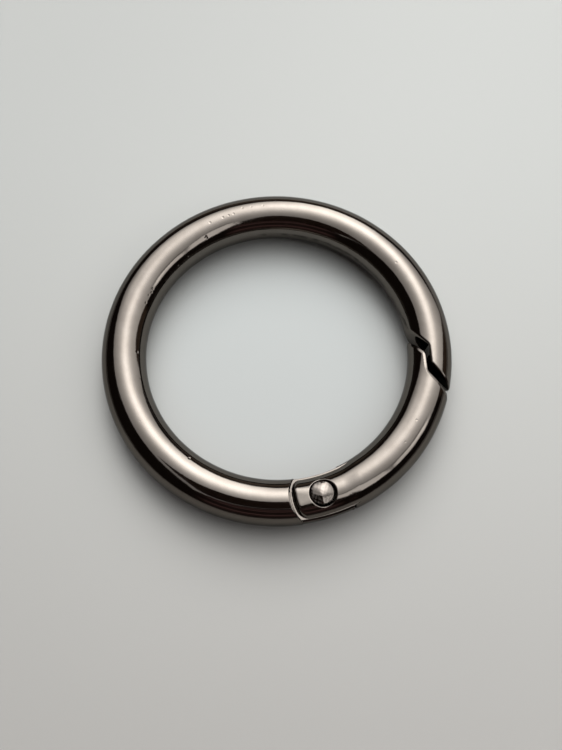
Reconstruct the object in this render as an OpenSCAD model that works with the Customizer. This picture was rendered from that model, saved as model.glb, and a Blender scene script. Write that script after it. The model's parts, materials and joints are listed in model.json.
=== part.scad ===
// Spring gate ring: a round die-cast link with a hinged, spring-loaded gate that opens inwards.
// The frame: origin at the middle of the ring, the ring lies in the XY plane, +Z is up.
// Five pieces: the C-shaped ring casting, the gate casting, the hinge rivet, and inside the gate
// the plunger and its coil spring, which press on a cam at the tip of the ring's hinge tongue.

/* [Ring] */
// Clear diameter inside the ring
inner_d = 38; // [32:0.5:50]
// Thickness of the round bar that the ring is made of
bar_d = 6.4; // [6:0.1:7.4]

/* [Hinge] */
// Where the rivet sits round the ring, in degrees from +X
pivot_angle = -72.7; // [-80:0.1:-65]
// Radius that the gate's heel sweeps about the rivet
heel_r = 4.55; // [4.45:0.01:4.7]
// How far the crown of the heel lies from the rivet
heel_reach = 4.38; // [4.2:0.01:4.45]
// Radius of the heel's flat crown
crown_r = 7; // [6:0.5:10]
// Running gap between the swept heel and the ring's shoulder
heel_gap = 0.08; // [0.06:0.01:0.2]
// How far the gate swings inwards, in degrees
open_angle = 45; // [30:1:45]

/* [Tongue] */
// Thickness of the ring's tongue, which the gate's slot straddles
tongue_t = 2.4; // [2:0.1:2.8]
// Gap between the tongue and each cheek of the gate
tongue_gap = 0.1; // [0.06:0.01:0.15]
// Distance from the rivet's axis to the tongue's round tip
cam_r = 2; // [1.8:0.05:2.1]
// Lever arm of the cam that the plunger presses on
cam_arm = 0.9; // [0.7:0.05:0.95]
// How far the tongue's outer toe, which lies flush in the slot, reaches past the rivet
toe_reach = 3.4; // [3.2:0.05:3.6]
// Gap between the end of the toe and the end of the slot
toe_gap = 0.15; // [0.1:0.01:0.25]

/* [Rivet] */
// Diameter of the rivet's shank
shank_d = 2; // [1.8:0.05:2.2]
// Diameter of each domed rivet head
head_d = 3.1; // [2.9:0.05:3.3]
// Height of each domed rivet head
head_h = 0.95; // [0.7:0.05:1]
// Height of the straight rim at the foot of each head
head_rim = 0.5; // [0.3:0.05:0.55]
// Diameter of the round seat sunk into each cheek for a head
seat_d = 3.7; // [3.5:0.05:3.9]
// Depth of that seat below the crown of the bar
seat_depth = 0.95; // [0.85:0.05:1.1]
// Radial clearance of the shank in the tongue
shank_play = 0.05; // [0.02:0.01:0.08]

/* [Latch] */
// Where the middle of the latch sits round the ring, in degrees from +X
latch_angle = -3.8; // [-8:0.1:4]
// Length of the step that the gate's nose rests behind
step_len = 2.8; // [2:0.1:3.4]
// How far inside the bar's centreline the middle of the step lies
step_in = 0.62; // [0.2:0.01:1]
// Lean of the step against the ring's tangent, in degrees
step_lean = 9; // [4:0.5:14]
// Angle of the two scarf faces against the ring's tangent, in degrees
scarf_angle = 48; // [42:1:55]
// Gap at the step, at the parting plane
step_gap = 0.2; // [0.12:0.01:0.3]
// Gap at the scarf faces, at the parting plane
scarf_gap = 0.8; // [0.5:0.02:0.9]
// Draft of the latch faces away from the parting plane, in degrees
draft = 3.4; // [2:0.1:5]

/* [Spring and plunger] */
// Diameter of the bore in the gate that holds the spring
bore_d = 2.5; // [2.3:0.05:2.6]
// Depth of that bore, from the rivet's axis
bore_end = 12.4; // [11.5:0.1:12.8]
// Diameter of the plunger's head
plunger_d = 2.34; // [2.2:0.01:2.4]
// How much of the plunger's head sits in the bore while the gate is shut
plunger_guide = 1.6; // [1.3:0.1:2]
// Diameter of the plunger's stem, which guides the spring
stem_d = 1.1; // [0.9:0.05:1.15]
// Length of the plunger's stem
stem_len = 3; // [2:0.1:4]
// Diameter of the spring's wire
wire_d = 0.4; // [0.3:0.01:0.42]
// Outer diameter of the spring's coil
coil_d = 2.16; // [2.1:0.01:2.2]
// Number of turns in the spring
coil_turns = 11; // [9:0.5:12]

/* [Hidden] */
$fn = 96;

bar_r = bar_d / 2;
ring_r = (inner_d + bar_d) / 2; // radius of the bar's centreline
pivot = [ring_r * cos(pivot_angle), ring_r * sin(pivot_angle)];
shoulder_r = heel_r + heel_gap;

// shapes that only cut or trim
eps = 0.01; // overlap of two solids that are joined
proud = 1; // how far a cutting shape stands out of what it cuts
through = bar_d + 2 * proud; // height of a shape that cuts right through the bar
reach = 12; // how far the cutting shapes run past the bar, along it and across it
overrun = 15; // how far each bar is drawn past the middle of the latch, in degrees

// tongue and slot
slot_half = tongue_t / 2 + tongue_gap;
heel_angle = asin(heel_r / ring_r);
toe_angle = asin(toe_reach / ring_r);
slot_angle = asin((toe_reach + toe_gap) / ring_r);
toe_play = 0.1; // between the toe and the side of the plunger
cam_steps = 18; // straight pieces that the cam's curve is made of
cam_run = 1; // straight run-out past the end of the cam

// spring bore: a chord of the ring's centreline that starts at the rivet's axis
bore_chord = 12;
bore_lean = asin(bore_chord / 2 / ring_r); // from the tangent at the rivet, inwards
bore_angle = pivot_angle + 90 + bore_lean;
bore_mouth = ring_r * tan(slot_angle) / (cos(bore_lean) + sin(bore_lean) * tan(slot_angle));
cam_play = 0.03; // between the cam and the plunger's face at rest
plunger_start = cam_r + cam_play;
spring_start = bore_mouth + plunger_guide;
spring_play = 0.02; // at each end of the spring

// rivet
seat_z = bar_r - seat_depth;
cheek_play = 0.02; // radial clearance of the shank in the cheeks
dome_h = head_h - head_rim;
dome_r = (pow(head_d / 2, 2) + dome_h * dome_h) / (2 * dome_h);

// ---------- placing ----------

// Children drawn about the rivet's axis, with +X along the ring's tangent towards the gate's nose
// and +Y towards the middle of the ring
module at_pivot() translate([pivot[0], pivot[1], 0]) rotate([0, 0, pivot_angle + 90]) children();

// Children drawn about the rivet's axis, with +X along the spring bore
module at_bore() translate([pivot[0], pivot[1], 0]) rotate([0, 0, bore_angle]) children();

// The round bar from one angle to another
module bar(from, to)
    rotate([0, 0, from]) rotate_extrude(angle = to - from) translate([ring_r, 0]) circle(bar_r);

// ---------- latch ----------

function turned(a) = [cos(a), sin(a)];
function cross2(u, v) = u[0] * v[1] - u[1] * v[0];
// Where the line through p along d meets the line through q along e
function meet(p, d, q, e) = p + d * (cross2(q - p, e) / cross2(d, e));

latch_mid = (ring_r - step_in) * turned(latch_angle);
tangent = latch_angle + 90;
step_dir = turned(tangent + step_lean);   // towards the ring's end of the latch, leaning inwards
scarf_dir = turned(tangent + scarf_angle); // the same way, leaning inwards more
step_out = turned(tangent + step_lean - 90);   // square to the step, outwards
scarf_out = turned(tangent + scarf_angle - 90); // square to the scarf faces, towards the ring's end

// The latch's outline at height z, on the ring's side (side = 1) or the gate's side (side = -1):
// inner scarf face, step and outer scarf face, as four points
function latch_line(side, z) =
    let (
        recede = abs(z) * tan(draft),
        step_at = latch_mid + side * (step_gap / 2 + recede) * step_out,
        shift = side * (scarf_gap / 2 + recede) * scarf_out,
        inner_at = latch_mid + step_dir * step_len / 2 + shift,
        outer_at = latch_mid - step_dir * step_len / 2 + shift,
        inner = meet(step_at, step_dir, inner_at, scarf_dir),
        outer = meet(step_at, step_dir, outer_at, scarf_dir)
    ) [inner + scarf_dir * reach, inner, outer, outer - scarf_dir * reach];

// Everything on the far side of the latch outline, as a body that is cut away:
// for the ring (side = 1) that is the gate's side, and for the gate (side = -1) the ring's side.
// Each level has the outline's four points and two far ones.
module latch_cutter(side) {
    top = bar_r + proud;
    corners = 6;
    far = -side * reach * turned(tangent);
    levels = [for (z = [-top, 0, top])
        let (line = latch_line(side, z))
        concat([for (p = line) [p[0], p[1], z]],
               [for (p = [line[3], line[0]]) [p[0] + far[0], p[1] + far[1], z]])];
    cap = side > 0 ? [[5, 0, 1], [5, 1, 2], [5, 2, 4], [4, 2, 3]] : [[4, 3, 2], [4, 2, 1], [4, 1, 5], [5, 1, 0]];
    wall = [for (k = [0, 1]) for (i = [0 : corners - 1])
        let (j = (i + 1) % corners, a = k * corners + i, b = k * corners + j)
        side > 0 ? [a, a + corners, b + corners, b] : [a, b, b + corners, a + corners]];
    bottom = [for (f = cap) [f[2], f[1], f[0]]];
    polyhedron(
        points = concat(levels[0], levels[1], levels[2]),
        faces = concat([for (f = bottom) [for (i = f) i]], [for (f = cap) [for (i = f) i + 2 * corners]], wall));
}

// ---------- pieces ----------

// The cam's edge in the bore's frame: its working face is an involute, so the plunger moves
// back in step with the gate's angle. p(a) is where the plunger's flat face touches at angle a.
function cam_point(a) =
    let (h = cam_r + cam_arm * a * PI / 180)
    [h * cos(a) - cam_arm * sin(a), h * sin(a) + cam_arm * cos(a)];

// The tongue's outline ahead of the rivet: the eye, the cam, and the toe beside the plunger
module tongue_tip(h) {
    cam_end = cam_point(open_angle) + cam_run * [-sin(open_angle), cos(open_angle)];
    cam_edge = concat([for (i = [0 : cam_steps]) cam_point(open_angle * i / cam_steps)], [cam_end]);
    turned_edge = [for (p = cam_edge) [p[0] * cos(bore_lean) - p[1] * sin(bore_lean),
                                       p[0] * sin(bore_lean) + p[1] * cos(bore_lean)]];
    foot = cam_r * [cos(bore_lean), sin(bore_lean)];
    cylinder(r = cam_r, h = h, center = true);
    linear_extrude(h, center = true) polygon(concat([[0, 0], foot], turned_edge, [[-cam_r, bar_r]]));
    rotate([0, 0, bore_lean]) translate([-proud, -reach, -h / 2])
        cube([reach, reach - bore_d / 2 - toe_play, h]);
}

module ring_body() color([0.30, 0.28, 0.27]) difference() {
    bar(latch_angle - overrun, pivot_angle + 360 + toe_angle);
    latch_cutter(1);
    // room for the gate's cheeks, above and below the tongue
    for (side = [0, 1]) mirror([0, 0, side]) at_pivot() translate([0, 0, tongue_t / 2]) {
        cylinder(r = shoulder_r, h = bar_d);
        translate([0, -reach, 0]) cube([reach, 2 * reach, bar_d]);
    }
    // room for the plunger, round the tip of the tongue
    at_pivot() difference() {
        translate([0, -reach, -tongue_t / 2 - eps]) cube([reach, 2 * reach, tongue_t + 2 * eps]);
        tongue_tip(tongue_t + proud);
    }
    at_pivot() cylinder(d = shank_d + 2 * shank_play, h = bar_d, center = true);
}

module gate() color([0.34, 0.31, 0.30]) difference() {
    bar(pivot_angle - 2 * heel_angle, latch_angle + overrun);
    latch_cutter(-1);
    // everything behind the rivet, except the heel
    at_pivot() difference() {
        translate([-reach, -reach, -through / 2]) cube([reach, 2 * reach, through]);
        intersection() {
            cylinder(r = heel_r, h = through + proud, center = true);
            translate([crown_r - heel_reach, 0, 0]) cylinder(r = crown_r, h = through + proud, center = true);
        }
    }
    // the slot for the tongue, open on the inside and the outside of the ring
    rotate([0, 0, pivot_angle - 2 * heel_angle]) rotate_extrude(angle = 2 * heel_angle + slot_angle)
        translate([inner_d / 2 - proud, -slot_half]) square([through, 2 * slot_half]);
    // the rivet's hole and seats
    at_pivot() {
        cylinder(d = shank_d + 2 * cheek_play, h = through, center = true);
        for (side = [0, 1]) mirror([0, 0, side]) translate([0, 0, seat_z]) cylinder(d = seat_d, h = bar_d);
    }
    // the spring's bore
    at_bore() translate([cam_r, 0, 0]) rotate([0, 90, 0]) cylinder(d = bore_d, h = bore_end - cam_r);
}

module rivet_head() {
    cylinder(d = head_d, h = head_rim);
    intersection() {
        translate([0, 0, head_h - dome_r]) sphere(dome_r);
        cylinder(d = head_d, h = head_h + proud);
    }
}

module rivet() color([0.40, 0.38, 0.37]) at_pivot() {
    cylinder(d = shank_d, h = 2 * seat_z, center = true);
    for (side = [0, 1]) mirror([0, 0, side]) translate([0, 0, seat_z]) rivet_head();
}

module plunger() color([0.62, 0.63, 0.65]) at_bore() rotate([0, 90, 0]) {
    translate([0, 0, plunger_start]) cylinder(d = plunger_d, h = spring_start - plunger_start);
    translate([0, 0, spring_start - eps]) cylinder(d = stem_d, h = stem_len + eps);
}

// A coil of round wire along +Z: one closed tube swept round the helix
module coil(length, outer_d, wire, turns) {
    sides = 8;
    per_turn = 20;
    rings = round(turns * per_turn);
    mean_r = (outer_d - wire) / 2;
    rise = length - wire;
    slope = atan(rise / (turns * 2 * PI * mean_r));
    // point s of the wire's section at ring k: across is outwards, up leans with the helix
    function on_wire(k, s) =
        let (
            a = 360 * turns * k / rings,
            across = wire / 2 * cos(360 * s / sides),
            up = wire / 2 * sin(360 * s / sides)
        ) [
            (mean_r + across) * cos(a) + up * sin(slope) * sin(a),
            (mean_r + across) * sin(a) - up * sin(slope) * cos(a),
            wire / 2 + rise * k / rings + up * cos(slope)
        ];
    polyhedron(
        points = [for (k = [0 : rings]) for (s = [0 : sides - 1]) on_wire(k, s)],
        faces = concat(
            [[for (s = [0 : sides - 1]) s]],
            [[for (s = [sides - 1 : -1 : 0]) rings * sides + s]],
            [for (k = [0 : rings - 1]) for (s = [0 : sides - 1])
                let (t = (s + 1) % sides)
                [k * sides + s, (k + 1) * sides + s, (k + 1) * sides + t, k * sides + t]]));
}

module gate_spring() color([0.75, 0.76, 0.78]) at_bore() rotate([0, 90, 0])
    translate([0, 0, spring_start + spring_play])
        coil(bore_end - spring_start - 2 * spring_play, coil_d, wire_d, coil_turns);

ring_body();
gate();
rivet();
plunger();
gate_spring();
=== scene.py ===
"""Looks of the spring gate ring: plated castings, hammered rivet, plunger and spring, floor, light, camera.

Lengths are millimetres until a mesh is made. Every casting is first written as a distance
function (negative inside), which is then meshed, so that its edges are rounded as cast edges are.
"""

import json
import math
from itertools import product

import bpy
import numpy as np
from mathutils import Matrix, Vector


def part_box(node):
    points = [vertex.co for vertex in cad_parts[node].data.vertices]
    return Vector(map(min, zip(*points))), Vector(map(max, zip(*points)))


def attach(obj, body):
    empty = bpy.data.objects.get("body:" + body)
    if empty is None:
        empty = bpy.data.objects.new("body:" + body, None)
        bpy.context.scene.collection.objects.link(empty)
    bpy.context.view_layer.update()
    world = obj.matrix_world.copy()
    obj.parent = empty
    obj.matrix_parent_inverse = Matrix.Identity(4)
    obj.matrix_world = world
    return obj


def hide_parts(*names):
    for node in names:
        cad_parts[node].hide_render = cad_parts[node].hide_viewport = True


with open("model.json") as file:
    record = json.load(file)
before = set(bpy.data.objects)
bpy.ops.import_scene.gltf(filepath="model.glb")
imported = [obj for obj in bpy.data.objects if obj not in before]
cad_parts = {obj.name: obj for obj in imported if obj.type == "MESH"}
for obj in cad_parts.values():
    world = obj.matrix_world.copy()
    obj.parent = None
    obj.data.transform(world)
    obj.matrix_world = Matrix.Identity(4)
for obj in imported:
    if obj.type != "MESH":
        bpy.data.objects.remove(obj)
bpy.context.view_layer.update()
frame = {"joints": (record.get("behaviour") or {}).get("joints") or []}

MM = 0.001

# ---------- sizes, as the CAD model has them ----------

_low, _high = (np.array(c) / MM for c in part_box("ring_body"))
BAR_R = round(_high[2], 2)
RING_R = round(-_low[0], 2) - BAR_R
HINGE = next(j for j in frame["joints"] if j["name"] == "gate_hinge")
PIVOT = np.array(HINGE["pos_m"][:2]) / MM
PIVOT_ANGLE = math.degrees(math.atan2(PIVOT[1], PIVOT[0]))

HEEL_R = 4.55
HEEL_REACH = 4.38
CROWN_R = 7.0
SHOULDER_R = HEEL_R + 0.08
TONGUE_HALF = 1.2
SLOT_HALF = 1.3
CAM_R = 2.0
CAM_ARM = 0.9
OPEN_ANGLE = 45.0
TOE_REACH = 3.4
TOE_GAP = 0.15
TOE_PLAY = 0.1
SHANK_R = 1.0
SHANK_PLAY = 0.05
HEAD_R = 1.55
HEAD_H = 0.95
HEAD_RIM = 0.5
SEAT_R = 1.85
SEAT_Z = BAR_R - 0.95

LATCH_ANGLE = -3.8
STEP_LEN = 2.8
STEP_IN = 0.62
STEP_LEAN = 9.0
SCARF_ANGLE = 48.0
STEP_GAP = 0.2
SCARF_GAP = 0.8
DRAFT = 3.4

BORE_R = 1.25
BORE_CHORD = 12.0
BORE_END = 12.4
CAM_PLAY = 0.03
PLUNGER_R = 1.17
PLUNGER_GUIDE = 1.6
STEM_R = 0.55
STEM_LEN = 3.0
WIRE_R = 0.2
COIL_R = 1.08
COIL_TURNS = 11

TOE_ANGLE = math.degrees(math.asin(TOE_REACH / RING_R))
SLOT_ANGLE = math.degrees(math.asin((TOE_REACH + TOE_GAP) / RING_R))
BORE_LEAN = math.degrees(math.asin(BORE_CHORD / 2 / RING_R))
_slot_tan = math.tan(math.radians(SLOT_ANGLE))
BORE_MOUTH = RING_R * _slot_tan / (
    math.cos(math.radians(BORE_LEAN)) + math.sin(math.radians(BORE_LEAN)) * _slot_tan)
SPRING_START = BORE_MOUTH + PLUNGER_GUIDE

# ---------- small forms that the CAD model leaves out ----------

LEDGE_Z = 1.46  # top of the narrow ledge that runs round each cheek, beside the slot
LEDGE_W = 0.30
LEDGE_ROUND = 0.5
SIDE_TRIM = 0.47  # how deep the ledge is beside the rivet, as a share of its width at the heel
SIDE_TRIM_LEAN = 0.15  # the share by which it is deeper on the inside of the ring, and less deep outside
SETTLE_END = 5.5  # the ledge has faded out this far past the rivet, along the bar
SETTLE_LEN = 2.5  # length of that fade
HEEL_DRAFT = 0.12
HEEL_CORNER = 4.05  # from the rivet's axis to the cut across the heel's outer corner
FLAT_DEPTH = 0.147
FLAT_SLOPE = 0.07  # the pressed flat between the rivet and the heel falls this much towards the heel
NOSE_W = 0.44  # the latch's edges on the gate are dressed to a slope this wide
NOSE_SLOPE = 0.40
GROOVE_R = 1.69  # a groove runs round the floor of each rivet seat, and widens towards its top
GROOVE_HALF = 0.16
GROOVE_FLOOR = 1.45
GROOVE_FLARE = 0.2
TONGUE_SUNK = 0.10  # how far the tongue's rim lies below the bar, and the bevel along its edges
TONGUE_BEVEL = 0.45
EDGE = 0.15  # how far most cast edges are rounded
HEAD_OFF = (-0.12, 0.05)  # the riveted heads sit slightly off the shank, and are a little wider and higher
HEAD_SPREAD = 0.06
HEAD_RAISED = 0.04
HEAD_FACETS = [  # flats that the riveting blows left: heading, tilt, depth below the dome
    (65, 10, 0.10), (168, 12, 0.075), (118, 19, 0.045), (-14, 16, 0.07), (30, 20, 0.045), (-48, 30, 0.15),
    (235, 32, 0.16), (100, 29, 0.065), (203, 21, 0.10),
]
HAMMER = 0.007  # height of the small dents between the facets
SEAM_HALF = 0.11  # half the space between the two lines of the mould's seam, and the width of a line
SEAM_W = 0.08
RIPPLE = 0.0011  # height of a polishing ripple for each millimetre of its length


# ---------- distance functions ----------

def heading(degrees):
    return np.array([math.cos(math.radians(degrees)), math.sin(math.radians(degrees))])


def both(a, b, radius=0.0):
    """Distance to what lies in both solids, with the edge between them rounded."""
    if radius == 0:
        return np.maximum(a, b)
    corner = np.hypot(np.maximum(a + radius, 0), np.maximum(b + radius, 0))
    return np.minimum(-radius, np.maximum(a, b)) + corner


def either(a, b, radius=0.0):
    """Distance to what lies in one solid or the other, with the inner corner filled."""
    return -both(-a, -b, radius)


def without(a, b, radius=0.0):
    return both(a, -b, radius)


class Place:
    """The coordinates of many points, as the castings' own features use them."""

    def __init__(self, p):
        self.x, self.y, self.z = p[..., 0], p[..., 1], p[..., 2]
        self.rho = np.hypot(self.x, self.y)
        angle = np.degrees(np.arctan2(self.y, self.x))
        # it runs from the latch round the bow to the hinge, and jumps back in the middle of the gate
        self.angle = np.where(angle < LATCH_ANGLE - 34, angle + 360, angle)
        self.across = self.rho - RING_R
        along = heading(PIVOT_ANGLE + 90)
        inward = heading(PIVOT_ANGLE + 180)
        dx, dy = self.x - PIVOT[0], self.y - PIVOT[1]
        self.from_pivot = np.hypot(dx, dy)
        self.along = dx * along[0] + dy * along[1]
        self.inward = dx * inward[0] + dy * inward[1]
        lean = heading(BORE_LEAN)
        self.bore_along = self.along * lean[0] + self.inward * lean[1]
        self.bore_inward = self.inward * lean[0] - self.along * lean[1]

    def past(self, point, direction):
        """How far each point lies past a line through point, square to direction."""
        return (self.x - point[0]) * direction[0] + (self.y - point[1]) * direction[1]


rng = np.random.default_rng(7)


def ripple_waves(count, shortest, longest):
    length = np.exp(rng.uniform(math.log(shortest), math.log(longest), count))
    direction = rng.normal(size=(count, 3))
    direction /= np.linalg.norm(direction, axis=1)[:, None]
    return direction * (2 * math.pi / length)[:, None], rng.uniform(0, 2 * math.pi, count), length


WAVES = ripple_waves(26, 1.6, 9.0)


def ripple(s):
    """The slight waves that hand polishing leaves in a casting."""
    k, phase, length = WAVES
    height = np.zeros_like(s.x)
    for (kx, ky, kz), start, wave in zip(k, phase, length):
        height += wave * np.sin(kx * s.x + ky * s.y + kz * s.z + start)
    return RIPPLE * height / math.sqrt(len(length))


def bar(s):
    return np.hypot(s.across, s.z) - BAR_R + ripple(s)


def latch_side(s, side, crest, hollow):
    """The stepped latch, seen from the ring (side 1) or from the gate (side -1)."""
    middle = (RING_R - STEP_IN) * heading(LATCH_ANGLE)
    tangent = LATCH_ANGLE + 90
    step_dir = heading(tangent + STEP_LEAN)
    step_out = heading(tangent + STEP_LEAN - 90)
    scarf_out = heading(tangent + SCARF_ANGLE - 90)
    recede = np.hypot(s.z, 0.08) * math.tan(math.radians(DRAFT))
    step = STEP_GAP / 2 + recede - side * s.past(middle, step_out)
    inner = SCARF_GAP / 2 + recede - side * s.past(middle + step_dir * STEP_LEN / 2, scarf_out)
    outer = SCARF_GAP / 2 + recede - side * s.past(middle - step_dir * STEP_LEN / 2, scarf_out)
    if side > 0:
        return either(inner, both(step, outer, crest), hollow)
    return both(inner, either(step, outer, hollow), crest)


def cam_outline():
    """Corners of the cam, about the rivet: a flat foot, then an involute, then a straight run-out."""
    arm, base = CAM_ARM, CAM_R
    points = [np.array([0.0, 0.0]), np.array([base, 0.0])]
    for a in np.radians(np.linspace(0, OPEN_ANGLE, 19)):
        h = base + arm * a
        points.append(np.array([h * math.cos(a) - arm * math.sin(a), h * math.sin(a) + arm * math.cos(a)]))
    end = math.radians(OPEN_ANGLE)
    points.append(points[-1] + np.array([-math.sin(end), math.cos(end)]))
    lean = heading(BORE_LEAN)
    turned = [np.array([p[0] * lean[0] - p[1] * lean[1], p[0] * lean[1] + p[1] * lean[0]]) for p in points]
    return turned + [np.array([-CAM_R, BAR_R])]


def polygon_distance(u, v, corners):
    """Signed distance in a plane to a polygon whose corners run counter-clockwise."""
    nearest = np.full(u.shape, np.inf)
    inside = np.zeros(u.shape, bool)
    for a, b in zip(corners, corners[1:] + corners[:1]):
        e = b - a
        pu, pv = u - a[0], v - a[1]
        t = np.clip((pu * e[0] + pv * e[1]) / (e @ e), 0, 1)
        nearest = np.minimum(nearest, np.hypot(pu - t * e[0], pv - t * e[1]))
        crosses = (a[1] > v) != (b[1] > v)
        run = e[0] / e[1] if e[1] else 0.0
        inside ^= crosses & (pu < run * pv)
    return np.where(inside, -nearest, nearest)


def tongue(s):
    """The flat plate that the gate's cheeks straddle, with its eye, cam and toe."""
    behind = s.along
    eye = s.from_pivot - CAM_R
    cam = polygon_distance(s.along, s.inward, cam_outline())
    tip = (s.angle - 360 - PIVOT_ANGLE - TOE_ANGLE) * math.radians(1) * s.rho
    toe = both(s.bore_inward + BORE_R + TOE_PLAY, tip, 0.1)
    toe = both(toe, -1 - s.bore_along)
    outline = either(either(behind, either(eye, cam), 0.2), toe, EDGE)
    plate = both(outline, np.abs(s.z) - TONGUE_HALF, 0.08)
    return without(plate, s.from_pivot - SHANK_R - SHANK_PLAY)


def ring_body(p):
    s = Place(p)
    near_hinge = s.angle > 240
    near_latch = s.angle < 40
    on_tongue = near_hinge * np.clip((SHOULDER_R - s.from_pivot) / 0.1, 0, 1)
    bevel = np.clip(np.abs(s.z) - (TONGUE_HALF - TONGUE_BEVEL), 0, TONGUE_BEVEL)
    body = bar(s) + (TONGUE_SUNK + bevel) * on_tongue
    latch = latch_side(s, 1, EDGE, 0.12)
    shoulder = both(SHOULDER_R - s.from_pivot, s.along)
    hinge = either(shoulder, tongue(s), 0.05)
    cut = np.where(near_latch, both(body, latch, 0.3), body)
    return np.where(near_hinge, both(body, hinge, 0.12), cut)


def settling(s):
    """1 at the cheeks, 0 past the end of the slot."""
    t = np.clip((SETTLE_END - s.along) / SETTLE_LEN, 0, 1)
    return t * t * (3 - 2 * t)


def gate(p):
    s = Place(p)
    turn = np.where(s.angle > 180, s.angle - 360, s.angle)
    crown = np.hypot(s.along - (CROWN_R - HEEL_REACH), s.inward) - CROWN_R
    heel = either(-s.along, both(s.from_pivot - HEEL_R, crown, 0.1))
    above = np.abs(s.z) - LEDGE_Z
    wall = heel + LEDGE_W + np.maximum(above, 0) * HEEL_DRAFT
    skin = bar(s)
    flat = (np.abs(s.z) - s.along * FLAT_SLOPE) / math.hypot(1, FLAT_SLOPE) - BAR_R + FLAT_DEPTH
    corner = (-s.along - s.inward) / math.sqrt(2) - HEEL_CORNER + np.maximum(above, 0) * HEEL_DRAFT
    trim = SIDE_TRIM + SIDE_TRIM_LEAN * np.clip(s.inward, -1, 1)
    sunk = skin + LEDGE_W * trim * settling(s)
    trimmed = both(both(sunk, flat, EDGE), wall, LEDGE_ROUND)
    trimmed = both(trimmed, corner, 0.25)
    body = either(both(both(skin, heel, 0.05), above, 0.03), trimmed, 0.03)
    latch = latch_side(s, -1, 0.3, 0.2)
    body = both(body + NOSE_SLOPE * np.maximum(latch + NOSE_W, 0), latch, 0.14)
    slot = both(np.abs(s.z) - SLOT_HALF, (turn - PIVOT_ANGLE - SLOT_ANGLE) * math.radians(1) * s.rho)
    body = without(body, slot, 0.16)
    seat = both(s.from_pivot - SEAT_R, SEAT_Z - np.abs(s.z), 0.05)
    flare = (np.abs(s.z) - GROOVE_FLOOR) * GROOVE_FLARE
    groove = np.abs(s.from_pivot - GROOVE_R) - np.clip(flare, -1, GROOVE_HALF)
    body = without(body, np.minimum(seat, groove), 0.16)
    bore = np.hypot(s.bore_inward, s.z) - BORE_R
    bore = both(bore, both(CAM_R - s.bore_along, s.bore_along - BORE_END))
    return without(body, bore, 0.05)


def rivet(p):
    s = Place(p)
    dome_h = HEAD_H - HEAD_RIM
    dome_r = (HEAD_R ** 2 + dome_h ** 2) / (2 * dome_h)
    height = np.abs(s.z) - (SEAT_Z + HEAD_H + HEAD_RAISED - dome_r)
    dx, dy = s.x - PIVOT[0] - HEAD_OFF[0], s.y - PIVOT[1] - HEAD_OFF[1]
    dome = np.sqrt(dx ** 2 + dy ** 2 + height ** 2) - dome_r
    for angle, tilt, depth in HEAD_FACETS:
        side = math.sin(math.radians(tilt)) * heading(angle)
        plane = dx * side[0] + dy * side[1] + height * math.cos(math.radians(tilt)) - dome_r + depth
        dome = both(dome, plane, 0.10)
    dome = dome + HAMMER * np.sin(9.5 * dx + 5.0 * dy + 2) * np.sin(8.0 * dy - 4.0 * dx + 1)
    head = both(both(dome, np.hypot(dx, dy) - HEAD_R - HEAD_SPREAD, 0.07), SEAT_Z - np.abs(s.z), 0.03)
    shank = both(s.from_pivot - SHANK_R, np.abs(s.z) - SEAT_Z - 0.2)
    return either(head, shank)


# ---------- meshing ----------

def surface_net(field, grid):
    """One vertex in each grid cell that the surface crosses, and one quad round each edge it crosses."""
    inside = field < 0
    cells = tuple(n - 1 for n in field.shape)
    total = np.zeros(cells + (3,))
    hits = np.zeros(cells, np.int32)
    for axis in range(3):
        others = [a for a in range(3) if a != axis]
        for offset in product((0, 1), repeat=2):
            start = [0, 0, 0]
            start[others[0]], start[others[1]] = offset
            near = tuple(slice(o, o + n) for o, n in zip(start, cells))
            start[axis] += 1
            far = tuple(slice(o, o + n) for o, n in zip(start, cells))
            cut = inside[near] != inside[far]
            f0, f1 = field[near][cut], field[far][cut]
            t = (f0 / (f0 - f1))[:, None]
            total[cut] += grid[near][cut] * (1 - t) + grid[far][cut] * t
            hits[cut] += 1
    used = hits > 0
    number = np.full(cells, -1, np.int64)
    number[used] = np.arange(used.sum())
    points = total[used] / hits[used][:, None]
    quads = []
    for axis in range(3):
        b, c = [a for a in range(3) if a != axis]
        near = [slice(1, n) for n in cells]
        near[axis] = slice(0, cells[axis])
        far = list(near)
        far[axis] = slice(1, cells[axis] + 1)
        cut = inside[tuple(near)] != inside[tuple(far)]
        at = np.argwhere(cut)
        at[:, b] += 1
        at[:, c] += 1
        ring = []
        for db, dc in ((0, 0), (-1, 0), (-1, -1), (0, -1)):
            cell = at.copy()
            cell[:, b] += db
            cell[:, c] += dc
            ring.append(number[tuple(cell.T)])
        quad = np.stack(ring, 1)
        flip = inside[tuple(near)][cut] ^ (axis == 1)
        quad[flip] = quad[flip][:, ::-1]
        quads.append(quad)
    return points, np.concatenate(quads)


def slope(shape, p, step=0.004):
    g = np.empty_like(p)
    for axis in range(3):
        d = np.zeros(3)
        d[axis] = step
        g[:, axis] = (shape(p + d) - shape(p - d)) / (2 * step)
    return g


def settle(shape, p, passes=3):
    """Moves points onto the surface."""
    for _ in range(passes):
        g = slope(shape, p)
        f = shape(p)
        move = g * (f / np.maximum((g * g).sum(1), 0.2))[:, None]
        length = np.linalg.norm(move, axis=1)[:, None]
        p = p - move * np.minimum(1, 0.1 / np.maximum(length, 1e-9))
    return p


def relax(shape, p, quads, passes=3):
    """Evens out the spacing of points, and puts them back on the surface."""
    a = quads.ravel()
    b = np.roll(quads, 1, 1).ravel()
    ends, starts = np.concatenate([a, b]), np.concatenate([b, a])
    count = np.bincount(ends, minlength=len(p))[:, None]
    for _ in range(passes):
        mean = np.stack([np.bincount(ends, p[starts, i], len(p)) for i in range(3)], 1) / count
        p = settle(shape, p + 0.5 * (mean - p), 1)
    return settle(shape, p, 2)


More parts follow.
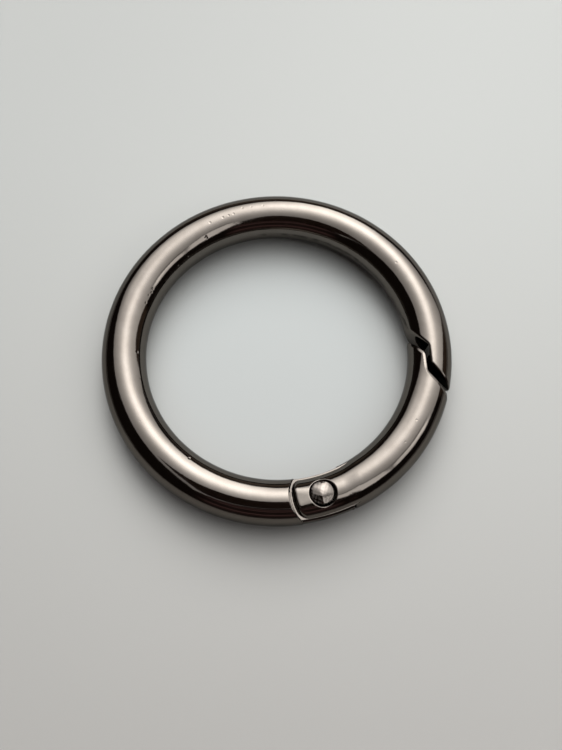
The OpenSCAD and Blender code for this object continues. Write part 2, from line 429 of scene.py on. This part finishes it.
def new_piece(name, points, faces, smooth=False):
    """Puts an object in the scene; its points are in mm."""
    mesh = bpy.data.meshes.new(name)
    mesh.from_pydata((np.array(points) * MM).tolist(), [], faces)
    mesh.polygons.foreach_set("use_smooth", np.full(len(mesh.polygons), smooth))
    piece = bpy.data.objects.new(name, mesh)
    bpy.context.scene.collection.objects.link(piece)
    return piece


def mesh_from(name, shape, grid):
    points, quads = surface_net(shape(grid), grid)
    points = relax(shape, settle(shape, points), quads)
    normals = slope(shape, points, 0.012)
    normals /= np.linalg.norm(normals, axis=1)[:, None]
    p = points[quads]
    face_normal = np.cross(p[:, 2] - p[:, 0], p[:, 3] - p[:, 1])
    if (face_normal * normals[quads[:, 0]]).sum() < 0:
        quads = quads[:, ::-1]
    piece = new_piece(name, points, quads.tolist(), smooth=True)
    piece.data.normals_split_custom_set_from_vertices(normals.tolist())
    piece.data.update()
    return piece


def stations(*stretches):
    """Angles round the ring: each stretch is (from, to, step along the bar in mm)."""
    angles = []
    for start, end, step in stretches:
        count = max(2, round(math.radians(end - start) * RING_R / step))
        angles.append(np.linspace(start, end, count, endpoint=False))
    return np.concatenate(angles + [[stretches[-1][1]]])


def ring_grid(angles, pitch):
    half = BAR_R + 1.5 * pitch
    count = round(2 * half / pitch) + 1
    side = np.linspace(-half, half, count)
    turn, across, z = np.meshgrid(np.radians(angles), side, side, indexing="ij")
    return np.stack([(RING_R + across) * np.cos(turn), (RING_R + across) * np.sin(turn), z], -1)


def box_grid(low, high, pitch):
    axes = [np.linspace(a, b, round((b - a) / pitch) + 1) for a, b in zip(low, high)]
    return np.stack(np.meshgrid(*axes, indexing="ij"), -1)


# ---------- materials ----------

EDGE_TINT = (0.6, 0.6, 0.6, 1)  # how much of the light metal reflects at a glancing angle
# painted shade: the near-black colour that darkens the seam's groove
SEAM_PAINTED_SHADE = (0.012, 0.010, 0.009, 1)
PLATING = (0.133, 0.1185, 0.105, 1)
PLATING_DARK = (0.123, 0.109, 0.096, 1)
PLATING_ROUGHNESS = 0.085


class Nodes:
    """A short way to write node trees: each call adds a node and returns its output."""

    def __init__(self, tree):
        self.tree = tree
        tree.nodes.clear()

    def add(self, kind, inputs=(), output=0, **settings):
        node = self.tree.nodes.new(kind)
        for key, value in settings.items():
            setattr(node, key, value)
        for key, value in dict(inputs).items():
            if isinstance(value, bpy.types.NodeSocket):
                self.tree.links.new(value, node.inputs[key])
            else:
                node.inputs[key].default_value = value
        return node.outputs[output] if len(node.outputs) else None

    def math(self, operation, a, b=0.0, c=0.0):
        return self.add("ShaderNodeMath", {0: a, 1: b, 2: c}, operation=operation)

    def length(self, x, y):
        return self.math("SQRT", self.math("ADD", self.math("MULTIPLY", x, x), self.math("MULTIPLY", y, y)))

    def split(self, vector):
        """The three parts of a vector."""
        node = self.tree.nodes.new("ShaderNodeSeparateXYZ")
        self.tree.links.new(vector, node.inputs[0])
        return node.outputs

    def blend(self, amount, low, high, **settings):
        return self.add("ShaderNodeMix", {0: amount, 6: low, 7: high}, output=2,
                        data_type="RGBA", **settings)

    def rise(self, value, start, end, low=0.0, high=1.0):
        return self.add("ShaderNodeMapRange", {0: value, 1: start, 2: end, 3: low, 4: high},
                        interpolation_type="SMOOTHSTEP")


def new_material(name):
    material = bpy.data.materials.new(name)
    material.use_nodes = True
    return material, Nodes(material.node_tree)


def metal(name, tint, dark, roughness, marks=(), seam=None):
    """Polished metal; marks are small dents (place, radius in mm, depth); seam is a groove that is also
    darkened with painted shade.
    """
    material, n = new_material(name)
    place = n.add("ShaderNodeTexCoord", output="Object")
    cloud = n.add("ShaderNodeTexNoise", {"Vector": place, "Scale": 420.0, "Detail": 4.0})
    fine = n.add("ShaderNodeTexNoise", {"Vector": place, "Scale": 5200.0, "Detail": 3.0})
    pits = n.add("ShaderNodeTexVoronoi", {"Vector": place, "Scale": 520.0})
    pit = n.rise(pits, 0.0, 0.09)
    colour = n.blend(n.rise(cloud, 0.35, 0.65), dark, tint)
    peel = n.add("ShaderNodeTexNoise", {"Vector": place, "Scale": 1500.0, "Detail": 1.0})
    waves = n.math("ADD", n.math("MULTIPLY", fine, 0.14), n.math("MULTIPLY", peel, 0.9))
    grain = n.math("ADD", pit, waves)
    for point, radius, depth in marks:
        away = n.add("ShaderNodeVectorMath", {0: place, 1: point}, output=1, operation="DISTANCE")
        dent = n.rise(away, 0.2 * radius * MM, radius * MM, -8 * depth, 0.0)
        grain = n.math("ADD", grain, dent)
    if seam:
        seam_shade = seam(n, place)
        grain = n.math("ADD", grain, n.math("MULTIPLY", seam_shade, -8.0))
        # painted shade: the seam's groove is coloured near black as well as dented
        colour = n.blend(seam_shade, colour, SEAM_PAINTED_SHADE)
    bump = n.add("ShaderNodeBump", {"Height": grain, "Strength": 0.25, "Distance": 0.02 * MM})
    rough = n.rise(cloud, 0.3, 0.75, roughness * 0.75, roughness * 1.35)
    shader = n.add("ShaderNodeBsdfPrincipled", {
        "Base Color": colour, "Metallic": 1.0, "Roughness": rough, "Normal": bump,
        "Specular Tint": EDGE_TINT})
    n.add("ShaderNodeOutputMaterial", {"Surface": shader})
    return material


def on_bar(angle, tilt):
    """A point on the bar: tilt is from straight up, outward positive."""
    out = RING_R + BAR_R * math.sin(math.radians(tilt))
    flat = out * heading(angle)
    return (flat[0] * MM, flat[1] * MM, BAR_R * math.cos(math.radians(tilt)) * MM)


CASTING_MARKS = [  # pits that the photo shows: angle round the ring, tilt, radius, depth
    (122.6, -37.4, 0.32, 2.2), (122.2, -33.0, 0.20, 1.4), (108.4, -3.5, 0.24, 0.9),
    (110.4, -3.9, 0.22, 0.9), (112.8, -4.5, 0.26, 0.9), (118.3, -4.7, 0.26, 0.8),
    (104.4, 7.9, 0.24, 0.6), (101.0, 6.5, 0.20, 0.6), (96.5, 6.0, 0.22, 0.5),
    (87.0, -47.0, 0.22, 1.4), (87.2, -50.0, 0.16, 1.2), (133.3, -54.8, 0.16, 1.2),
    (139.4, -56.3, 0.16, 1.2), (37.7, -5.9, 0.20, 0.7), (154.8, -38.0, 0.26, 1.4),
    (156.5, -40.0, 0.20, 1.2), (158.2, -37.0, 0.20, 1.0), (161.7, -38.6, 0.22, 1.0),
    (183.5, -43.5, 0.30, 1.6), (235.1, -33.1, 0.24, 1.6), (80.5, -84.0, 0.32, 1.8),
    (91.6, -84.3, 0.26, 1.6), (33.0, -86.0, 0.18, 1.2),
]
GATE_MARKS = [  # the same, on the gate
    (303.3, 78.6, 0.28, 2.0), (305.5, 78.0, 0.16, 1.2), (322.0, 9.0, 0.18, 0.6), (331.0, 2.0, 0.20, 0.6),
]


def marks_on_bar(marks):
    return [(on_bar(angle, tilt), radius, depth) for angle, tilt, radius, depth in marks]


def mould_seam(n, place):
    """The ragged double line that the two halves of the mould left along the inside of the ring.

    It lies a little above the ring's middle plane, and climbs as it nears the latch.
    """
    x, y, z = n.split(place)
    turn = n.math("MULTIPLY", n.math("ARCTAN2", y, x), 180 / math.pi)
    wander = n.add("ShaderNodeTexNoise", {"Vector": place, "Scale": 900.0, "Detail": 4.0})
    climb = n.rise(turn, 10, 24, 1.0 * MM, 0.2 * MM)
    line = n.math("ADD", climb, n.math("MULTIPLY", wander, 0.45 * MM))
    off = n.math("DIVIDE", n.math("SUBTRACT", z, line), MM)
    apart = n.math("SUBTRACT", n.math("ABSOLUTE", off), SEAM_HALF)
    groove = n.math("EXPONENT", n.math("MULTIPLY", n.math("MULTIPLY", apart, apart), -1 / SEAM_W ** 2))
    patchy = n.add("ShaderNodeTexNoise", {"Vector": place, "Scale": 750.0, "Detail": 2.0})
    stretch = n.math("MULTIPLY", n.rise(turn, 8, 13), n.rise(turn, 95, 102, 1.0, 0.0))
    inside = n.rise(n.length(x, y), (RING_R - 2.2) * MM, (RING_R - 1.4) * MM, 1.0, 0.0)
    where = n.math("MULTIPLY", n.math("MULTIPLY", n.rise(patchy, 0.42, 0.56), stretch), inside)
    return n.math("MULTIPLY", groove, where)


GUNMETAL = metal("gunmetal_plating", PLATING, PLATING_DARK, PLATING_ROUGHNESS,
                 marks=marks_on_bar(CASTING_MARKS), seam=mould_seam)
GUNMETAL_GATE = metal("gunmetal_gate", PLATING, PLATING_DARK, PLATING_ROUGHNESS,
                      marks=marks_on_bar(GATE_MARKS))
GUNMETAL_RIVET = metal("gunmetal_rivet", (0.138, 0.123, 0.110, 1), (0.118, 0.104, 0.093, 1), 0.15)
PIN_STEEL = metal("pin_steel", (0.52, 0.52, 0.53, 1), (0.42, 0.42, 0.43, 1), 0.3)
SPRING_STEEL = metal("spring_steel", (0.58, 0.58, 0.59, 1), (0.46, 0.46, 0.47, 1), 0.25)


# ---------- pieces ----------

def bore_points(along, out, up):
    """Points by their place along the gate's bore and about its axis, in the ring's frame."""
    axis = heading(PIVOT_ANGLE + 90 + BORE_LEAN)
    side = heading(PIVOT_ANGLE + BORE_LEAN)
    flat = PIVOT[:, None] + np.outer(axis, along) + np.outer(side, out)
    return np.stack([flat[0], flat[1], up], 1)


def tube_faces(rings, sides):
    """The sides and both ends of a tube of rings."""
    faces = []
    for k in range(rings - 1):
        for i in range(sides):
            j = (i + 1) % sides
            faces.append([k * sides + i, k * sides + j, (k + 1) * sides + j, (k + 1) * sides + i])
    faces.append(list(range(sides))[::-1])
    faces.append([(rings - 1) * sides + i for i in range(sides)])
    return faces


def plunger_piece():
    """A turned pin: chamfered head, and the stem that guides the spring."""
    start = CAM_R + CAM_PLAY
    chamfer = 0.15
    stem_end = SPRING_START + STEM_LEN
    profile = [(start, PLUNGER_R - chamfer), (start + 0.04, PLUNGER_R - 0.06), (start + chamfer, PLUNGER_R),
               (SPRING_START - chamfer, PLUNGER_R), (SPRING_START, PLUNGER_R - chamfer),
               (SPRING_START, STEM_R), (stem_end - chamfer, STEM_R), (stem_end, STEM_R - chamfer)]
    sides = 48
    rings = []
    for along, radius in profile:
        turn = np.linspace(0, 2 * math.pi, sides, endpoint=False)
        rings.append(bore_points(np.full(sides, along), radius * np.cos(turn), radius * np.sin(turn)))
    piece = new_piece("push_pin", np.concatenate(rings), tube_faces(len(rings), sides))
    for polygon in piece.data.polygons:
        polygon.use_smooth = len(polygon.vertices) == 4
    piece.data.set_sharp_from_angle(angle=math.radians(35))
    return piece


def spring_piece():
    """A compression spring whose end turns lie closer together than its middle ones."""
    sides, per_turn = 10, 28
    length = BORE_END - SPRING_START - 0.04
    mean_r = COIL_R - WIRE_R
    turns = np.linspace(0, COIL_TURNS, COIL_TURNS * per_turn + 1)
    ease = turns / COIL_TURNS
    rise = ease - 0.06 * np.sin(2 * math.pi * ease)
    centre = SPRING_START + 0.02 + WIRE_R + (length - 2 * WIRE_R) * rise
    angle = 2 * math.pi * turns
    rings = []
    for c, a in zip(centre, angle):
        s = np.linspace(0, 2 * math.pi, sides, endpoint=False)
        radius = mean_r + WIRE_R * np.cos(s)
        rings.append(bore_points(c + WIRE_R * np.sin(s), radius * math.cos(a), radius * math.sin(a)))
    return new_piece("coil_spring", np.concatenate(rings), tube_faces(len(rings), sides), smooth=True)


def dress(piece, node, body, material):
    piece.data.materials.append(material)
    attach(piece, body)
    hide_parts(node)


# The meshes are finest round the latch and the hinge.
COARSE = 1.0
body_angles = stations((-18, 12, 0.12 * COARSE), (12, 104, 0.22 * COARSE), (104, 272, 0.45 * COARSE),
                       (272, 299, 0.12 * COARSE))
gate_angles = stations((-88, -64, 0.085 * COARSE), (-64, -20, 0.3 * COARSE), (-20, 10, 0.09 * COARSE))
dress(mesh_from("ring_casting", ring_body, ring_grid(body_angles, 0.13 * COARSE)),
      "ring_body", "ring", GUNMETAL)
dress(mesh_from("gate_casting", gate, ring_grid(gate_angles, 0.09 * COARSE)),
      "gate", "gate", GUNMETAL_GATE)
_reach = HEAD_R + 0.15
dress(mesh_from("hinge_rivet", rivet,
                box_grid((PIVOT[0] - _reach, PIVOT[1] - _reach, -BAR_R - 0.1),
                         (PIVOT[0] + _reach, PIVOT[1] + _reach, BAR_R + 0.1), 0.06 * COARSE)),
      "rivet", "gate", GUNMETAL_RIVET)
dress(plunger_piece(), "plunger", "plunger", PIN_STEEL)
dress(spring_piece(), "gate_spring", "gate", SPRING_STEEL)


# ---------- floor, light and camera ----------

FLOOR_HALF = 1500.0
# painted shade: the floor's colour is darker to the south, standing in for the shadow of whoever holds the
# camera
FLOOR_SHADED_SOUTH, FLOOR_LIT_NORTH = (0.193, 0.187, 0.177, 1), (0.243, 0.248, 0.238, 1)
SOUTH_TO_NORTH = (-85.0, 45.0)  # where the floor's painted shade starts and ends its change, from south to north
# painted shade: the floor is darker towards the west, more so in the north
WEST_SHADE = (0.90, 0.90, 0.90, 1)
INSIDE_PAINTED_LIGHT = (1.015, 1.05, 1.075, 1)  # painted light: the floor inside the ring is made a little brighter and bluer, standing in for light from the ring's inner side
# the much darker colour that the floor takes past its sides and near end
FAR_FLOOR_DARK = (0.14, 0.12, 0.11, 1)
WHITE = (1, 1, 1, 1)


def floor():
    """A pale floor that turns much darker past its sides and its near end, which lie outside the picture.
    """
    corners = [(FLOOR_HALF * i, FLOOR_HALF * j, -BAR_R) for i, j in ((-1, -1), (1, -1), (1, 1), (-1, 1))]
    piece = new_piece("floor", corners, [(0, 1, 2, 3)])
    material, n = new_material("pale_floor")
    x, y, _ = n.split(n.add("ShaderNodeTexCoord", output="Object"))
    # painted shade, darker towards the south
    shade = n.blend(n.rise(y, SOUTH_TO_NORTH[0] * MM, SOUTH_TO_NORTH[1] * MM), FLOOR_SHADED_SOUTH, FLOOR_LIT_NORTH)
    # painted shade, darker towards the north-west
    from_west = n.math("SUBTRACT", x, n.math("MULTIPLY", y, 0.5))
    west = n.blend(n.rise(from_west, -75 * MM, 10 * MM), WEST_SHADE, WHITE)
    # the floor darkens between 47 and 62 mm out to either side, and between 70 and 85 mm to the south
    beside = n.rise(n.math("ABSOLUTE", x), 47 * MM, 62 * MM)
    below = n.rise(y, -70 * MM, -85 * MM)
    far_dark = n.blend(n.math("MAXIMUM", beside, below), WHITE, FAR_FLOOR_DARK)
    # painted light: brighter and bluer floor inside the ring
    inside_light = n.blend(n.rise(n.length(x, y), 12 * MM, 24 * MM, 1.0, 0.0), WHITE, INSIDE_PAINTED_LIGHT)
    for factor in (west, far_dark, inside_light):
        shade = n.blend(1.0, shade, factor, blend_type="MULTIPLY")
    shader = n.add("ShaderNodeBsdfPrincipled", {"Base Color": shade, "Roughness": 0.6})
    n.add("ShaderNodeOutputMaterial", {"Surface": shader})
    piece.data.materials.append(material)


def softbox():
    """A broad lamp in the north that lights the floor; the metal's reflections come from the sky alone."""
    data = bpy.data.lights.new("softbox", "SUN")
    data.energy = 2.5
    data.angle = math.radians(34)
    lamp = bpy.data.objects.new("softbox", data)
    lamp.rotation_euler = Vector((-0.10, 0.78, 0.63)).to_track_quat("Z", "Y").to_euler()
    lamp.visible_glossy = False
    bpy.context.scene.collection.objects.link(lamp)


CEILING = [  # glows of the lit ceiling: strength, middle, spread
    (7.0, (9, 38), (13, 16.5)), (3.0, (15, 63), (11, 7.5)), (2.0, (-23, 42), (11, 12)),
    (2.1, (22, 26), (36, 24)),
]


def sky():
    """Soft light by direction: east and north are degrees from straight up, to +X and to +Y."""
    world = bpy.data.worlds.new("studio")
    world.use_nodes = True
    n = Nodes(world.node_tree)
    x, y, z = n.split(n.add("ShaderNodeTexCoord", output="Generated"))
    flat = n.math("MAXIMUM", n.length(x, y), 1e-4)
    zenith = n.math("MULTIPLY", n.math("ARCCOSINE", z), 180 / math.pi)
    east = n.math("DIVIDE", n.math("MULTIPLY", x, zenith), flat)
    north = n.math("DIVIDE", n.math("MULTIPLY", y, zenith), flat)

    def side(a, b, soft):
        """1 to the left of the line from a to b, 0 to its right."""
        dx, dy = b[0] - a[0], b[1] - a[1]
        length = math.hypot(dx, dy)
        nx, ny = -dy / length, dx / length
        d = n.math("ADD", n.math("MULTIPLY", east, nx), n.math("MULTIPLY", north, ny))
        return n.rise(n.math("SUBTRACT", d, a[0] * nx + a[1] * ny), -soft, soft)

    def patch(corners, soft):
        """A convex patch with soft sides, whose corners run counter-clockwise."""
        mask = 1.0
        for a, b in zip(corners, corners[1:] + corners[:1]):
            mask = n.math("MULTIPLY", mask, side(a, b, soft))
        return mask

    def either_patch(a, b, soft):
        return n.math("MAXIMUM", patch(a, soft), patch(b, soft))

    def lamp(strength, middle, size):
        """A round glow that fades out from its middle."""
        de = n.math("DIVIDE", n.math("SUBTRACT", east, middle[0]), size[0])
        dn = n.math("DIVIDE", n.math("SUBTRACT", north, middle[1]), size[1])
        far = n.math("ADD", n.math("MULTIPLY", de, de), n.math("MULTIPLY", dn, dn))
        return n.math("MULTIPLY", n.math("EXPONENT", n.math("MULTIPLY", far, -0.5)), strength)

    def shade(colour, strength):
        return n.add("ShaderNodeBackground", {"Color": (*colour, 1), "Strength": strength})

    # a bright ceiling in the north, in a pale opening with a dark surround
    glow = 0.7
    for strength, middle, size in CEILING:
        glow = n.math("ADD", glow, lamp(strength, middle, size))
    opening = either_patch(
        [(-34, -22), (40, -22), (64, -8), (67, 3), (76, 50), (53, 59), (28, 67), (8, 70),
         (-38, 58), (-53, 46)],
        [(-33, -40), (12, -40), (14, -18), (-34, -18)], 1.5)
    cupboard = patch([(67, 4), (110, 10), (78, 51), (61, 24)], 2.5)
    # a window low in the south-east, under a darker ledge
    window = either_patch([(14, -21), (18, -35), (36, -44), (52, -32), (38, -21)],
                          [(42, -22), (53, -31), (66, -10), (60, -4), (52, -4)], 2.5)
    ledge = either_patch([(12, -23), (40, -23), (40, -18), (14, -17)],
                         [(36, -18), (42, -22), (53, -3), (48, 1)], 1.5)
    # the dark clothes of whoever took the picture
    clothes = patch([(-22, -36), (-55, -88), (50, -88), (20, -36)], 6)
    folds = n.math("ADD", n.math("SINE", n.math("MULTIPLY", zenith, 0.7)),
                   n.math("SINE", n.math("MULTIPLY", zenith, 0.27)))
    folds = n.math("POWER", n.math("MULTIPLY_ADD", folds, 0.25, 0.5), 3.0)
    folds = n.math("MULTIPLY_ADD", folds, 0.30, 0.008)
    light = n.math("MULTIPLY", n.math("MULTIPLY", glow, opening), n.math("SUBTRACT", 1.0, cupboard))
    light = n.math("MULTIPLY", light, n.math("SUBTRACT", 1.0, n.math("MULTIPLY", ledge, 0.45)))
    light = n.math("ADD", light, n.math("MULTIPLY", window, 2.6))
    parts = [
        shade((1.0, 1.0, 1.0), light),
        shade((1.0, 0.72, 0.60), 0.022),
        shade((1.0, 0.70, 0.50), n.math("MULTIPLY", cupboard, 0.10)),
        shade((1.0, 0.55, 0.55), n.math("MULTIPLY", clothes, folds)),
        shade((1.0, 0.80, 0.62), lamp(0.2, (0, 84), (45, 7))),
    ]
    mixed = parts[0]
    for part in parts[1:]:
        mixed = n.add("ShaderNodeAddShader", {0: mixed, 1: part})
    n.add("ShaderNodeOutputWorld", {"Surface": mixed})
    bpy.context.scene.world = world


PHONE_Z = 157.0
PHONE_OUTLINE = [(-98, -38), (8, -38), (24, -54), (59, -119), (59, -150), (-98, -150)]


def phone():
    """The dark thing held just behind the camera, which the polished metal reflects."""
    corners = [(x, y, PHONE_Z) for x, y in PHONE_OUTLINE]
    piece = new_piece("phone", corners, [list(range(len(corners)))])
    piece.visible_camera = False
    material, n = new_material("dark_phone")
    shader = n.add("ShaderNodeBsdfPrincipled", {"Base Color": (0.22, 0.14, 0.115, 1), "Roughness": 0.9})
    n.add("ShaderNodeOutputMaterial", {"Surface": shader})
    piece.data.materials.append(material)


CAMERA_PLACE = (0.0, -47.51, 124.44)
AIM = (0.636, -3.485, 0.0)  # the point of the ring's middle plane at the picture's centre
ROLL = 1.913
LENS = 43.91
SENSOR = 36.0


def camera():
    """Looks down at the ring from the south, as the photograph does."""
    place = Vector(CAMERA_PLACE) * MM
    aim = Vector(AIM) * MM
    data = bpy.data.cameras.new("camera")
    data.sensor_fit = "VERTICAL"
    data.sensor_height = SENSOR
    data.lens = LENS
    data.clip_start = 0.001
    eye = bpy.data.objects.new("camera", data)
    turn = (aim - place).to_track_quat("-Z", "Y").to_matrix().to_4x4()
    eye.matrix_world = Matrix.Translation(place) @ turn @ Matrix.Rotation(math.radians(ROLL), 4, "Z")
    bpy.context.scene.collection.objects.link(eye)
    bpy.context.scene.camera = eye


floor()
sky()
softbox()
phone()
camera()
bpy.context.scene.view_settings.view_transform = "Standard"
bpy.context.scene.view_settings.look = "None"
